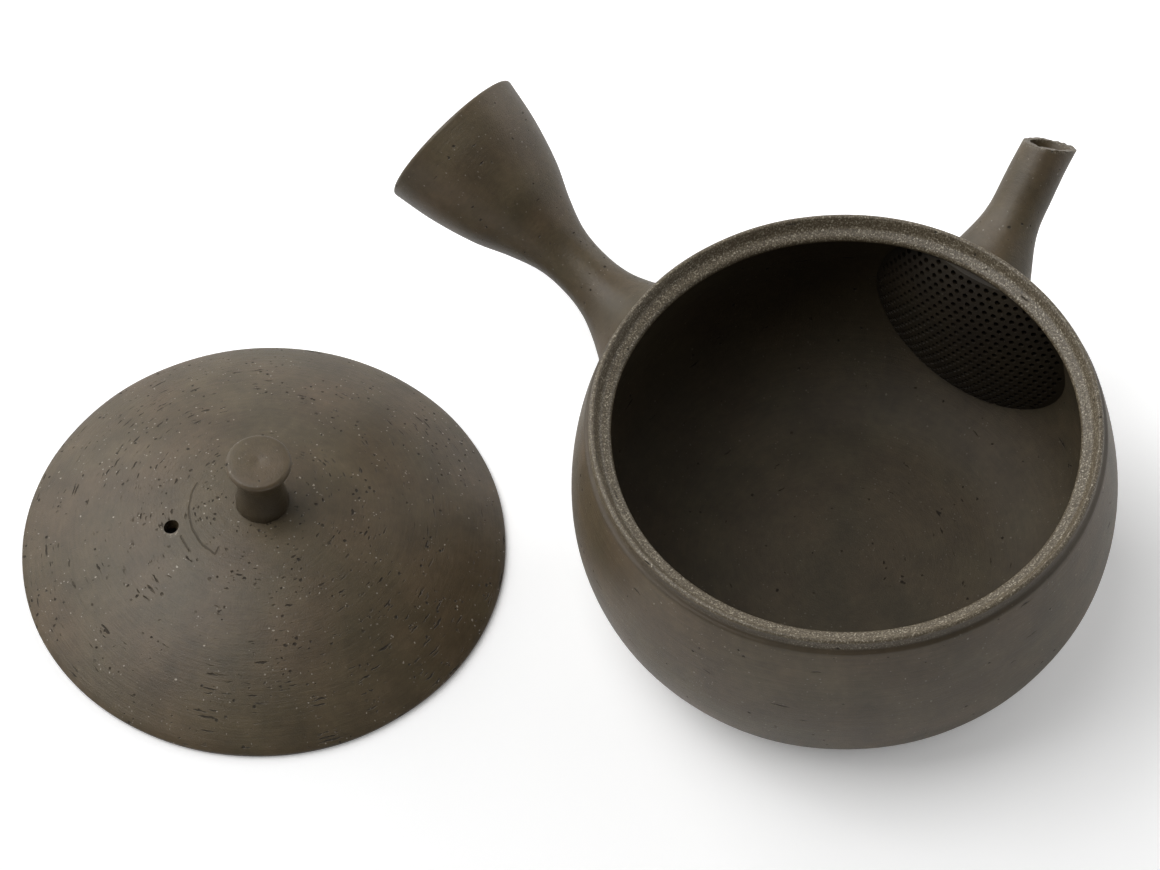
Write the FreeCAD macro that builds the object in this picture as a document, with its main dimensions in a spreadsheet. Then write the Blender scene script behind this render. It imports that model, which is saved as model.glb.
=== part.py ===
# Side-handled teapot of unglazed clay: a low round pot with a spout, a trumpet handle
# and a built-in strainer, and its domed lid with a knob, laid on the table beside it.
# Lengths are in millimetres.
# The origin is the middle of the pot's base. +X is the way the spout pours, +Z is up.
import FreeCAD, Part
import Sketcher
import math
import os

V = FreeCAD.Vector
UP = V(0, 0, 1)
ACROSS = V(0, 1, 0)

doc = FreeCAD.newDocument("Teapot")
sheet = doc.addObject("Spreadsheet::Sheet", "Sizes")

SIZES = {
    # pot, from its base up to the crest of the rim
    "pot_height": 50.2,
    "base_radius": 41.0,
    "base_bevel": 1.0,
    "belly_radius": 52.7,
    "belly_height": 27.0,
    "shoulder_radius": 50.1,
    "shoulder_height": 47.3,
    "rim_radius": 49.3,
    "neck_height": 48.0,
    "crest_round": 0.7,
    "crest_width": 0.15,
    "wall": 2.6,
    "floor_thickness": 3.2,
    "floor_radius": 36.5,
    "inner_shoulder_inset": 1.8,
    "inner_shoulder_drop": 3.3,
    # seat for the lid, inside the rim
    "mouth_radius": 45.0,
    "seat_radius": 47.3,
    "seat_depth": 2.2,
    "lip_thickness": 1.4,
    # spout, along its own straight axis from its seat, a small depth inside the belly's widest circle
    "spout_seat_depth": 2.7,
    "spout_seat_height": 30.1,
    "spout_length": 33.7,
    "spout_tip_radius": 5.12,
    "spout_tube_radius": 5.35,
    "spout_tube_start": 19.0,
    "spout_cone_radius": 6.35,
    "spout_cone_start": 13.7,
    "spout_bend_radius": 16.8,
    "spout_root_radius": 14.25,
    "spout_root_depth": 8.0,
    "spout_bore_radius": 3.85,
    "spout_root_bore_radius": 9.6,
    "passage_radius": 8.5,
    # strainer, a perforated dome over the way into the spout
    "strainer_radius": 43.3,
    "strainer_bulge": 11.2,
    "strainer_height": 26.5,
    "strainer_thickness": 1.2,
    "strainer_pitch": 1.9,
    "strainer_hole_radius": 0.55,
    "strainer_margin": 1.0,
    # handle, along its own straight axis from its seat, a small depth inside the belly's widest circle
    "handle_seat_depth": 0.7,
    "handle_seat_height": 26.5,
    "handle_length": 56.3,
    "handle_neck_place": 18.0,
    "handle_neck_radius": 5.45,
    "handle_end_radius": 15.9,
    "handle_root_radius": 12.8,
    "handle_wall": 2.0,
    # lid, in its own frame: its resting face is at height zero
    "lid_reach": 113.5,
    "lid_clearance": 0.1,
    "lid_bevel_height": 0.85,
    "lid_edge_height": 1.15,
    "lid_height": 18.0,
    "lid_wall": 2.8,
    "lid_hollow_radius": 43.5,
    "vent_radius": 1.5,
    "vent_reach": 17.75,
    # knob on the lid
    "knob_offset": 0.5,
    "knob_base_radius": 5.15,
    "knob_base_height": 1.2,
    "knob_waist_radius": 4.4,
    "knob_waist_height": 7.5,
    "knob_rim_radius": 6.42,
    "knob_rim_round": 0.72,
    "knob_rim_thickness": 1.7,
    "knob_height": 13.8,
    "knob_dimple_radius": 1.3,
    "knob_dimple_depth": 0.25,
    "knob_sink": 1.0,
    # how far a cutting form runs past what it cuts
    "overrun": 2.0,
}

# Angles in degrees. A rise is measured up from level, the rest turn counter-clockwise seen from above.
ANGLES = {
    "spout_rise": 33.2,
    "spout_mouth_rise": 43.5,
    "spout_mouth_turn": 15.0,
    "strainer_turn": -2.9,
    "handle_turn": 77.7,
    "handle_rise": 16.7,
    "lid_direction": 119.5,
    "vent_direction": 136.1,
}


class Size:
    """A length or angle: its value, and the sheet expression that gives it."""

    def __init__(self, text, value):
        self.text = text
        self.value = value

    def __add__(self, other):
        other = as_size(other)
        return Size(f"({self.text} + {other.text})", self.value + other.value)

    def __sub__(self, other):
        other = as_size(other)
        return Size(f"({self.text} - {other.text})", self.value - other.value)

    def __mul__(self, other):
        other = as_size(other)
        return Size(f"({self.text} * {other.text})", self.value * other.value)

    def __truediv__(self, other):
        other = as_size(other)
        return Size(f"({self.text} / {other.text})", self.value / other.value)


def as_size(number):
    """Give a plain share or zero the form of a Size."""
    if isinstance(number, Size):
        return number
    return Size(f"{number}", float(number))


def cosine(angle):
    return Size(f"cos({angle.text} * 1 deg)", math.cos(math.radians(angle.value)))


def sine(angle):
    return Size(f"sin({angle.text} * 1 deg)", math.sin(math.radians(angle.value)))


def fill_sheet():
    """Write the driving lengths and angles into the sheet, one row each."""
    for row, (name, value) in enumerate([*SIZES.items(), *ANGLES.items()], start=1):
        sheet.set(f"A{row}", name)
        sheet.set(f"B{row}", str(value))
        sheet.setAlias(f"B{row}", name)
    doc.recompute()


def size(name):
    """A driving size, read from the sheet."""
    return Size(f"Sizes.{name}", float(sheet.get(name)))


fill_sheet()
ZERO = as_size(0)
QUARTER_TURN = as_size(90)
OVERRUN = size("overrun")


def bind(target, name, value):
    """Tie one property of an object to the sheet."""
    target.setExpression(name, value.text)


def place(target, x, z, turn=None, axis=UP, y=ZERO):
    """Tie an object's place, and its turn about one axis, to the sheet."""
    angle = turn or ZERO
    target.Placement = FreeCAD.Placement(V(x.value, y.value, z.value), FreeCAD.Rotation(axis, angle.value))
    bind(target, "Placement.Base.x", x)
    bind(target, "Placement.Base.y", y)
    bind(target, "Placement.Base.z", z)
    bind(target, "Placement.Rotation.Angle", angle)


def lean_to_side(target, turn):
    """Turn the level axis that an object leans about, so that it leans to one side as well."""
    bind(target, "Placement.Rotation.Axis.x", ZERO - sine(turn))
    bind(target, "Placement.Rotation.Axis.y", cosine(turn))


def origin_plane(body, role):
    return next(item for item in body.Origin.OriginFeatures if item.Role == role)


def point_of(corner):
    return V(corner[0].value, corner[1].value, 0)


def arc_centre(start, end, rule, amount):
    """Centre of an arc: at a given height, on the axis, or to the left at a given radius."""
    (x1, y1), (x2, y2) = (start.x, start.y), (end.x, end.y)
    if rule == "height":
        y = amount.value
        x = (x1 ** 2 + (y1 - y) ** 2 - x2 ** 2 - (y2 - y) ** 2) / (2 * (x1 - x2))
        return V(x, y, 0)
    if rule == "axis":
        y = (y1 ** 2 + x1 ** 2 - y2 ** 2 - x2 ** 2) / (2 * (y1 - y2))
        return V(0, y, 0)
    chord = end - start
    reach = math.sqrt(amount.value ** 2 - (chord.Length / 2) ** 2)
    left = V(-chord.y, chord.x, 0).normalize()
    return (start + end) * 0.5 + left * reach


def arc_through(start, end, centre):
    radius = (start - centre).Length
    middle = centre + ((start + end) * 0.5 - centre).normalize() * radius
    return Part.Arc(start, middle, end)


def hold_corner(sketch, geometry, end, corner, label):
    """Fix one corner of an outline at its distances from the sketch's origin."""
    for kind, value, side in (("DistanceX", corner[0], "x"), ("DistanceY", corner[1], "y")):
        index = sketch.addConstraint(Sketcher.Constraint(kind, -1, 1, geometry, end, value.value))
        sketch.renameConstraint(index, f"{label}{side}")
        bind(sketch, f"Constraints.{label}{side}", value)


def draw_outline(sketch, corners, bends):
    """Draw a closed outline through corners; bends says which of its sides are arcs."""
    points = [point_of(corner) for corner in corners]
    count = len(corners)
    for index in range(count):
        start, end = points[index], points[(index + 1) % count]
        bend = bends.get(index)
        if bend is None:
            side = Part.LineSegment(start, end)
        else:
            side = arc_through(start, end, arc_centre(start, end, *bend))
        sketch.addGeometry(side, False)
    for index in range(count):
        ends = sorted((1, 2), key=lambda end: (sketch.getPoint(index, end) - points[index]).Length)
        hold_corner(sketch, index, ends[0], corners[index], f"c{index}")
        hold_corner(sketch, index, ends[1], corners[(index + 1) % count], f"e{index}")
        bend = bends.get(index)
        if bend is None:
            continue
        rule, amount = bend
        if rule == "height":
            number = sketch.addConstraint(Sketcher.Constraint("DistanceY", -1, 1, index, 3, amount.value))
        elif rule == "axis":
            sketch.addConstraint(Sketcher.Constraint("PointOnObject", index, 3, -2))
            continue
        else:
            number = sketch.addConstraint(Sketcher.Constraint("Radius", index, amount.value))
        sketch.renameConstraint(number, f"bend{index}")
        bind(sketch, f"Constraints.bend{index}", amount)


def turned_form(name, corners, bends):
    """A body turned about its own upright axis from an outline of (radius, height) corners."""
    body = doc.addObject("PartDesign::Body", name)
    sketch = body.newObject("Sketcher::SketchObject", name + "_outline")
    sketch.AttachmentSupport = (origin_plane(body, "XZ_Plane"), [""])
    sketch.MapMode = "FlatFace"
    draw_outline(sketch, corners, bends)
    turning = body.newObject("PartDesign::Revolution", name + "_turning")
    turning.Profile = sketch
    turning.ReferenceAxis = (sketch, ["V_Axis"])
    turning.Angle = 360
    body.Tip = turning
    return body


def boolean(kind, name, base, tool):
    """A boolean of two forms; its label names the piece or form."""
    result = doc.addObject(kind, name)
    result.Base = base
    result.Tool = tool
    result.Label = name
    return result


def pot_outer_form():
    """The pot's outside as one solid, from its base to the crest of its rim."""
    rim, height = size("rim_radius"), size("pot_height")
    bevel, crest_round = size("base_bevel"), size("crest_round")
    belly = size("belly_height")
    corners = [
        (ZERO, ZERO),
        (size("base_radius") - bevel, ZERO),
        (size("base_radius"), bevel),
        (size("belly_radius"), belly),
        (size("shoulder_radius"), size("shoulder_height")),
        (rim, size("neck_height")),
        (rim, height - crest_round),
        (rim - crest_round, height),
        (ZERO, height),
    ]
    bends = {2: ("height", belly), 3: ("height", belly), 6: ("height", height - crest_round)}
    return turned_form("pot_outside", corners, bends)


def seat_height():
    return size("pot_height") - size("seat_depth")


def crest_inner_radius():
    return size("rim_radius") - size("crest_round") - size("crest_width")


def inner_shoulder():
    """The inner wall's corner under the lip, inward of the outer shoulder and below it."""
    radius = size("shoulder_radius") - size("inner_shoulder_inset")
    return radius, size("shoulder_height") - size("inner_shoulder_drop")


def pot_inner_form():
    """The room inside the pot, with the lid's seat and the open mouth above it."""
    height, belly, floor = size("pot_height"), size("belly_height"), size("floor_thickness")
    mouth, crest = size("mouth_radius"), crest_inner_radius()
    corners = [
        (ZERO, floor),
        (size("floor_radius"), floor),
        (size("belly_radius") - size("wall"), belly),
        inner_shoulder(),
        (mouth, seat_height() - size("lip_thickness")),
        (mouth, seat_height()),
        (size("seat_radius"), seat_height()),
        (crest, height),
        (crest, height + OVERRUN),
        (ZERO, height + OVERRUN),
    ]
    bends = {1: ("height", belly), 2: ("height", belly)}
    return turned_form("pot_inside", corners, bends)


def seat_reach(name):
    """Distance from the pot's axis to the seat of the spout or handle."""
    return size("belly_radius") - size(f"{name}_seat_depth")


def spout_frame(target, along=ZERO, rise=None):
    """Stand a form on the spout's axis, at a distance along it, leaned to a rise."""
    axis_rise = size("spout_rise")
    x = seat_reach("spout") + along * cosine(axis_rise)
    z = size("spout_seat_height") + along * sine(axis_rise)
    place(target, x, z, QUARTER_TURN - (rise or axis_rise), ACROSS)


def spout_passage():
    """The round way through the pot's wall into the spout."""
    depth = size("spout_root_depth")
    passage = doc.addObject("Part::Cylinder", "passage")
    bind(passage, "Radius", size("passage_radius"))
    bind(passage, "Height", depth * 2)
    spout_frame(passage, ZERO - depth)
    return passage


def spout_piece(pot_outside):
    """The spout: a hollow tube with a coned root, trimmed to the belly and cut slanting at its tip."""
    top = size("spout_length") + size("spout_tip_radius")
    bottom = ZERO - size("spout_root_depth")
    start = size("spout_tube_start")
    corners = [
        (size("spout_bore_radius"), top),
        (size("spout_bore_radius"), start),
        (size("spout_root_bore_radius"), bottom),
        (size("spout_root_radius"), bottom),
        (size("spout_cone_radius"), size("spout_cone_start")),
        (size("spout_tube_radius"), start),
        (size("spout_tip_radius"), top),
    ]
    form = turned_form("spout_form", corners, {4: ("radius", size("spout_bend_radius"))})
    spout_frame(form)
    above = doc.addObject("Part::Cylinder", "spout_above")
    bind(above, "Radius", size("spout_root_radius"))
    bind(above, "Height", size("spout_tip_radius") * 2 + OVERRUN)
    spout_frame(above, size("spout_length"), size("spout_mouth_rise"))
    lean_to_side(above, size("spout_mouth_turn"))
    trimmed = boolean("Part::Cut", "spout_trimmed", form, pot_outside)
    return boolean("Part::Cut", "spout", trimmed, above)


# Rings of the handle, as (where, radius share, upright share). From root to neck, "where" is the share
# of the neck's place that is left; from neck to end, it is the share of the way to the end.
# The radius share runs from the neck's radius to the root's, or to the end's.
# The upright share turns a ring from square to the axis to parallel with the belly.
ROOT_RING_SHARES = [
    (1.39, 1.37, 1.0),
    (1.08, 1.0, 0.8),
    (0.83, 0.7, 0.45),
    (0.58, 0.36, 0.15),
    (0.31, 0.1, 0.0),
]
END_RING_SHARES = [
    (0.0, 0.0, 0.0),
    (0.17, 0.045, 0.0),
    (0.34, 0.26, 0.0),
    (0.52, 0.56, 0.0),
    (0.76, 0.83, 0.0),
]


def handle_rings():
    """Each ring of the handle as (distance along the axis, radius, lean from square)."""
    neck_place, neck = size("handle_neck_place"), size("handle_neck_radius")
    length, rise = size("handle_length"), size("handle_rise")
    rings = []
    for where, share, upright in ROOT_RING_SHARES:
        radius = neck + (size("handle_root_radius") - neck) * share
        rings.append((neck_place * (1 - where), radius, rise * upright))
    for where, share, upright in END_RING_SHARES:
        radius = neck + (size("handle_end_radius") - neck) * share
        rings.append((neck_place + (length - neck_place) * where, radius, rise * upright))
    rings.append((length, size("handle_end_radius"), ZERO))
    return rings


def handle_loft(name, rings):
    """A smooth solid through rings that stand along the handle's axis."""
    rise = size("handle_rise")
    circles = []
    for number, (along, radius, lean) in enumerate(rings):
        circle = doc.addObject("Part::Circle", f"{name}_ring{number}")
        bind(circle, "Radius", radius)
        x = seat_reach("handle") + along * cosine(rise)
        z = size("handle_seat_height") + along * sine(rise)
        place(circle, x, z, QUARTER_TURN - rise + lean, ACROSS)
        circles.append(circle)
    loft = doc.addObject("Part::Loft", name)
    loft.Sections = circles
    loft.Solid = True
    place(loft, ZERO, ZERO, size("handle_turn"))
    return loft


def handle_piece(pot_outside):
    """The handle: a hollow trumpet, open at its wide end and trimmed to the belly."""
    rings = handle_rings()
    wall = size("handle_wall")
    hollow_rings = [(along, radius - wall, lean) for along, radius, lean in rings]
    hollow_rings.append((rings[-1][0] + OVERRUN, rings[-1][1] - wall, ZERO))
    outer = handle_loft("handle_outside", rings)
    hollow = handle_loft("handle_hollow", hollow_rings)
    tube = boolean("Part::Cut", "handle_tube", outer, hollow)
    return boolean("Part::Cut", "handle", tube, pot_outside)


def inner_wall_radius(height):
    """Radius of the pot's inner wall at a height."""
    belly = size("belly_height").value
    widest = size("belly_radius").value - size("wall").value
    shoulder_radius, shoulder_height = (value.value for value in inner_shoulder())
    if height > shoulder_height:
        lip_height = (seat_height() - size("lip_thickness")).value
        share = (height - shoulder_height) / (lip_height - shoulder_height)
        return shoulder_radius + (size("mouth_radius").value - shoulder_radius) * share
    if height > belly:
        corner, rise = shoulder_radius, shoulder_height - belly
    else:
        corner, rise = size("floor_radius").value, belly - size("floor_thickness").value
    centre = (widest ** 2 - corner ** 2 - rise ** 2) / (2 * (widest - corner))
    reach = math.sqrt((widest - centre) ** 2 - (height - belly) ** 2)
    return centre + math.copysign(reach, widest - centre)


def strainer_centre_reach():
    return size("belly_radius") - size("wall") - size("strainer_bulge") + size("strainer_radius")


def strainer_holes():
    """Round holes square to the dome, in staggered rows, where the dome stands clear of the wall."""
    radius = size("strainer_radius").value
    thickness, pitch = size("strainer_thickness").value, size("strainer_pitch").value
    margin, clear = size("strainer_margin").value, OVERRUN.value
    centre = V(strainer_centre_reach().value, 0, size("strainer_height").value)
    lowest, highest = size("floor_thickness").value, (seat_height() - size("lip_thickness")).value
    row_step = pitch * math.sqrt(3) / 2
    reach = math.floor(radius / pitch)
    pins = []
    for row in range(-reach, reach + 1):
        rise = row * row_step / radius
        for column in range(-reach, reach + 1):
            turn = (column + 0.5 * (row % 2)) * pitch / (radius * math.cos(rise))
            if abs(turn) > math.pi / 2 or abs(rise) > math.pi / 2:
                continue
            outward = V(-math.cos(rise) * math.cos(turn), math.cos(rise) * math.sin(turn), math.sin(rise))
            spot = centre + outward * radius
            if not lowest < spot.z < highest:
                continue
            if math.hypot(spot.x, spot.y) > inner_wall_radius(spot.z) - margin:
                continue
            foot = spot - outward * (thickness + clear)
            length = thickness + 2 * clear
            pins.append(Part.makeCylinder(size("strainer_hole_radius").value, length, foot, outward))
    print("strainer holes", len(pins))
    holes = doc.addObject("Part::Feature", "strainer_holes")
    holes.Shape = Part.makeCompound(pins)
    place(holes, ZERO, ZERO, size("strainer_turn"))
    return holes


def strainer_sphere(name, radius):
    """A ball whose surface is a face of the strainer's dome."""
    ball = doc.addObject("Part::Sphere", name)
    bind(ball, "Radius", radius)
    turn = size("strainer_turn")
    reach = strainer_centre_reach()
    place(ball, reach * cosine(turn), size("strainer_height"), y=reach * sine(turn))
    return ball


def strainer_piece(pot_inside):
    """The strainer: a thin dome that bulges into the pot, set on its inner wall."""
    outer = strainer_sphere("strainer_outside", size("strainer_radius"))
    inner = strainer_sphere("strainer_inside", size("strainer_radius") - size("strainer_thickness"))
    shell = boolean("Part::Cut", "strainer_shell", outer, inner)
    below_lip = doc.addObject("Part::Cylinder", "below_lip")
    bind(below_lip, "Radius", size("belly_radius"))
    bind(below_lip, "Height", seat_height() - size("lip_thickness"))
    room = boolean("Part::Common", "strainer_room", pot_inside, below_lip)
    cap = boolean("Part::Common", "strainer_cap", shell, room)
    return boolean("Part::Cut", "strainer", cap, strainer_holes())


def lid_frame(target, x=ZERO, z=ZERO):
    """Stand a form in the lid's own frame, whose +X runs from the middle to the vent."""
    reach, direction, vent = size("lid_reach"), size("lid_direction"), size("vent_direction")
    lid_x = reach * cosine(direction) + x * cosine(vent)
    lid_y = reach * sine(direction) + x * sine(vent)
    place(target, lid_x, z, vent, y=lid_y)


def lid_outer_form():
    """The lid's outside as one solid: a low dome with a bevelled edge that fits the seat."""
    foot = size("seat_radius") - size("lid_clearance")
    seat_lean = (crest_inner_radius() - size("seat_radius")) / size("seat_depth")
    edge = foot + size("lid_bevel_height") * seat_lean
    corners = [
        (ZERO, ZERO),
        (foot, ZERO),
        (edge, size("lid_bevel_height")),
        (edge, size("lid_edge_height")),
        (ZERO, size("lid_height")),
    ]
    form = turned_form("lid_outside", corners, {3: ("axis", ZERO)})
    lid_frame(form)
    return form


def lid_inner_form():
    """The hollow under the lid."""
    hollow = size("lid_hollow_radius")
    corners = [
        (ZERO, ZERO - OVERRUN),
        (hollow, ZERO - OVERRUN),
        (hollow, ZERO),
        (ZERO, size("lid_height") - size("lid_wall")),
    ]
    form = turned_form("lid_inside", corners, {2: ("axis", ZERO)})
    lid_frame(form)
    return form


def lid_piece(lid_outside):
    """The lid: a domed shell with one round vent."""
    shell = boolean("Part::Cut", "lid_shell", lid_outside, lid_inner_form())
    vent = doc.addObject("Part::Cylinder", "vent")
    bind(vent, "Radius", size("vent_radius"))
    bind(vent, "Height", size("lid_height"))
    lid_frame(vent, x=size("vent_reach"))
    return boolean("Part::Cut", "lid", shell, vent)


def knob_piece(lid_outside):
    """The knob: a short waisted stem under a round-edged button, set on the dome."""
    top = size("knob_height")
    rim, rim_round = size("knob_rim_radius"), size("knob_rim_round")
    thickness = size("knob_rim_thickness")
    rim_middle = top - thickness * 0.5
    waist = size("knob_waist_height")
    corners = [
        (ZERO, ZERO - size("knob_sink")),
        (size("knob_base_radius"), ZERO - size("knob_sink")),
        (size("knob_base_radius"), size("knob_base_height")),
        (size("knob_waist_radius"), waist),
        (rim - rim_round, top - thickness),
        (rim, rim_middle),
        (rim - rim_round, top),
        (size("knob_dimple_radius"), top),
        (ZERO, top - size("knob_dimple_depth")),
    ]
    bends = {
        2: ("height", waist),
        3: ("height", waist),
        4: ("height", rim_middle),
        5: ("height", rim_middle),
    }
    form = turned_form("knob_form", corners, bends)
    lid_frame(form, x=ZERO - size("knob_offset"), z=size("lid_height"))
    return boolean("Part::Cut", "lid_knob", form, lid_outside)


def check_document():
    """Stop if any object failed or any shape is missing or broken."""
    for item in doc.Objects:
        if "Invalid" in item.State or "Error" in item.State:
            raise RuntimeError(f"{item.Name} failed: {item.State}")


def write_pieces(pieces):
    """Write each piece to its own file, named by its label."""
    os.makedirs("parts", exist_ok=True)
    for piece in pieces:
        shape = piece.Shape
        if shape.isNull() or not shape.isValid() or len(shape.Solids) != 1:
            raise RuntimeError(f"{piece.Label} is not one valid solid")
        shape.exportStep(os.path.join("parts", piece.Label + ".step"))
        box = shape.BoundBox
        print(f"{piece.Label}: {shape.Volume:.0f} cubic mm, x {box.XMin:.1f} to {box.XMax:.1f}, "
              f"y {box.YMin:.1f} to {box.YMax:.1f}, z {box.ZMin:.1f} to {box.ZMax:.1f}")


def main():
    pot_outside = pot_outer_form()
    pot_inside = pot_inner_form()
    pot_shell = boolean("Part::Cut", "pot_shell", pot_outside, pot_inside)
    pot = boolean("Part::Cut", "pot_body", pot_shell, spout_passage())
    lid_outside = lid_outer_form()
    pieces = [
        pot,
        spout_piece(pot_outside),
        strainer_piece(pot_inside),
        handle_piece(pot_outside),
        lid_piece(lid_outside),
        knob_piece(lid_outside),
    ]
    doc.recompute()
    check_document()
    write_pieces(pieces)


main()
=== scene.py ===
# %% [markdown]
# # A side-handled teapot of dark unglazed clay
#
# The potter throws six pieces on the wheel from one iron-rich clay: pot, spout, strainer, handle,
# lid and knob. They are joined while the clay is damp and fired without a glaze. The lid has been
# taken off and lies beside the pot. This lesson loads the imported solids, makes the clay pieces
# again on the same places with the marks that hands and tools leave, and lights them as for a
# catalogue photograph.

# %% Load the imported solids
import math

import bmesh
import bpy
from mathutils import Matrix, Vector, noise


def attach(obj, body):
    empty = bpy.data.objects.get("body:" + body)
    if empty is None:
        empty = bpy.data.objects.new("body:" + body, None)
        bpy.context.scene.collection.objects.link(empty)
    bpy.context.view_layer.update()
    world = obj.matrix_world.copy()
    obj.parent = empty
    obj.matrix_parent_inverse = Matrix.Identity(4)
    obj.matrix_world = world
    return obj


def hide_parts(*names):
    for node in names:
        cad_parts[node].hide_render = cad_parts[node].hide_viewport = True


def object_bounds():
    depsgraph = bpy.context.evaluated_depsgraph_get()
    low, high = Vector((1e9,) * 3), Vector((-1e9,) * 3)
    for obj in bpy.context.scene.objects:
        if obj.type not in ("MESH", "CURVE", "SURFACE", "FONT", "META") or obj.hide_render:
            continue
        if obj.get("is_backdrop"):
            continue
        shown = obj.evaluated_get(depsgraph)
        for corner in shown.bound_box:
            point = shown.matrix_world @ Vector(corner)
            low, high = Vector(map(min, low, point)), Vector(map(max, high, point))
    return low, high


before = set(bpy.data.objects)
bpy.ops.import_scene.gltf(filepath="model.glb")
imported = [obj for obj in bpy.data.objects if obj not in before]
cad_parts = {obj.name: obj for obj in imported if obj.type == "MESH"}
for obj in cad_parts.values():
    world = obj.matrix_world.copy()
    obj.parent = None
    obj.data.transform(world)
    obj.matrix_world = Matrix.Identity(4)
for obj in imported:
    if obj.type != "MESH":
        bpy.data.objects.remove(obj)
cad_box = [list(corner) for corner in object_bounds()]
print("packed pieces:", ", ".join(sorted(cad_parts)))

# %% [markdown]
# ## Camera
#
# The photograph looks down at the table at about 56 degrees through a long lens. The camera comes
# first, so that every later look is taken from the same place. Its place, its aim and its small
# roll are measured on the ellipses of the mouth and the lid. The focal length in pixels is turned
# into millimetres on Blender's 36 mm sensor.

# %% Set up the camera
PHOTO_WIDTH_PX = 1160
PHOTO_HEIGHT_PX = 870
FOCAL_PX = 7006.6
SENSOR_MM = 36.0
CAMERA_PLACE = Vector((-0.6454, -0.3587, 1.1603))
CAMERA_AIM = Vector((-0.0005, 0.06005, 0.0))
CAMERA_ROLL = -1.5


def set_up_camera():
    lens = bpy.data.cameras.new("photo_camera")
    lens.sensor_width = SENSOR_MM
    lens.lens = FOCAL_PX / PHOTO_WIDTH_PX * SENSOR_MM
    lens.clip_start = 0.01
    lens.clip_end = 20.0
    camera = bpy.data.objects.new("photo_camera", lens)
    look = (CAMERA_AIM - CAMERA_PLACE).to_track_quat("-Z", "Y").to_matrix().to_4x4()
    roll = Matrix.Rotation(math.radians(CAMERA_ROLL), 4, "Z")
    camera.matrix_world = Matrix.Translation(CAMERA_PLACE) @ look @ roll
    bpy.context.scene.collection.objects.link(camera)
    bpy.context.scene.camera = camera
    print(f"camera lens {lens.lens:.1f} mm")


set_up_camera()

# %% [markdown]
# ## From an outline to a turned piece
#
# Everything here was turned on a wheel, so a piece starts as half of its section: a line of points,
# each a radius and a height in millimetres. Blender's spin operator carries that line round the
# axis as the wheel carries the clay. Spinning is chosen over stacking cylinders because the wall
# stays one closed skin.

# %% Outlines and the wheel
MM = 0.001


def arc(start, end, height, steps):
    """Points after start, up to end, on an arc whose middle lies at a height."""
    (r1, z1), (r2, z2) = start, end
    middle = (r1 ** 2 + (z1 - height) ** 2 - r2 ** 2 - (z2 - height) ** 2) / (2 * (r1 - r2))
    radius = math.hypot(r1 - middle, z1 - height)
    first = math.atan2(z1 - height, r1 - middle)
    sweep = math.atan2(z2 - height, r2 - middle) - first
    sweep = (sweep + math.pi) % math.tau - math.pi
    turns = [first + sweep * step / steps for step in range(1, steps + 1)]
    return [(middle + radius * math.cos(turn), height + radius * math.sin(turn)) for turn in turns]


def dome(edge, top, steps):
    """Points after edge, up to the axis, on a dome that reaches a height."""
    radius, height = edge
    bend = (radius ** 2 + (top - height) ** 2) / (2 * (top - height))
    last = math.asin(radius / bend)
    turns = [last * (1 - step / steps) for step in range(1, steps + 1)]
    return [(bend * math.sin(turn), top - bend + bend * math.cos(turn)) for turn in turns]


def throw(outline, steps, closed=False):
    """Spin an outline of (radius, height) points about the upright axis."""
    bm = bmesh.new()
    line = [bm.verts.new((radius, 0, height)) for radius, height in outline]
    pairs = list(zip(line, line[1:]))
    if closed:
        pairs.append((line[-1], line[0]))
    edges = [bm.edges.new(pair) for pair in pairs]
    bmesh.ops.spin(bm, geom=line + edges, cent=(0, 0, 0), axis=(0, 0, 1), angle=math.tau,
                   steps=steps, use_merge=True)
    bmesh.ops.remove_doubles(bm, verts=bm.verts, dist=0.001)
    face_outwards(bm)
    return bm


def face_outwards(bm):
    """Turn the faces so that the skin encloses its clay."""
    bmesh.ops.recalc_face_normals(bm, faces=bm.faces)
    if bm.calc_volume(signed=True) < 0:
        bmesh.ops.reverse_faces(bm, faces=bm.faces)


def soften(bm, angle, width, segments=3):
    """Round the edges that are sharper than an angle, as a damp sponge does."""
    limit = math.radians(angle)
    sharp = [edge for edge in bm.edges if edge.is_manifold and edge.calc_face_angle() > limit]
    bmesh.ops.bevel(bm, geom=sharp, offset=width, offset_type="OFFSET", segments=segments,
                    profile=0.5, affect="EDGES", material=-1, clamp_overlap=True)


# %% [markdown]
# ## The hand in the clay
#
# A thrown wall is never quite round. A slow noise draws each point in along its radius by about a
# tenth of a millimetre, which is enough to bend the light along the rim. Both faces of the wall
# move together, so the wall keeps its thickness.

# %% Unevenness, and finishing a piece
MEAN_DRAW = 0.7


def leave_hand(bm, amount, wave, seed):
    """Draw the points in a little, by a noise whose waves are that long."""
    for vert in bm.verts:
        outward = Vector((vert.co.x, vert.co.y, 0))
        if outward.length > 1:
            shift = noise.noise(vert.co / wave + Vector((seed, seed, seed))) - MEAN_DRAW
            vert.co += outward.normalized() * shift * amount


def fire(name, bm, body, node, place=Matrix.Identity(4)):
    """Turn a bmesh in millimetres into a piece in metres that stands for a solid."""
    bmesh.ops.transform(bm, matrix=Matrix.Scale(MM, 4) @ place, verts=bm.verts)
    mesh = bpy.data.meshes.new(name)
    bm.to_mesh(mesh)
    bm.free()
    piece = bpy.data.objects.new(name, mesh)
    bpy.context.scene.collection.objects.link(piece)
    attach(piece, body)
    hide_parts(node)
    return piece


def shade(piece, angle):
    """Smooth shading, with edges sharper than an angle left crisp."""
    piece.data.shade_smooth()
    piece.data.set_sharp_from_angle(angle=math.radians(angle))
    print(f"{piece.name}: {len(piece.data.polygons)} faces")


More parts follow.
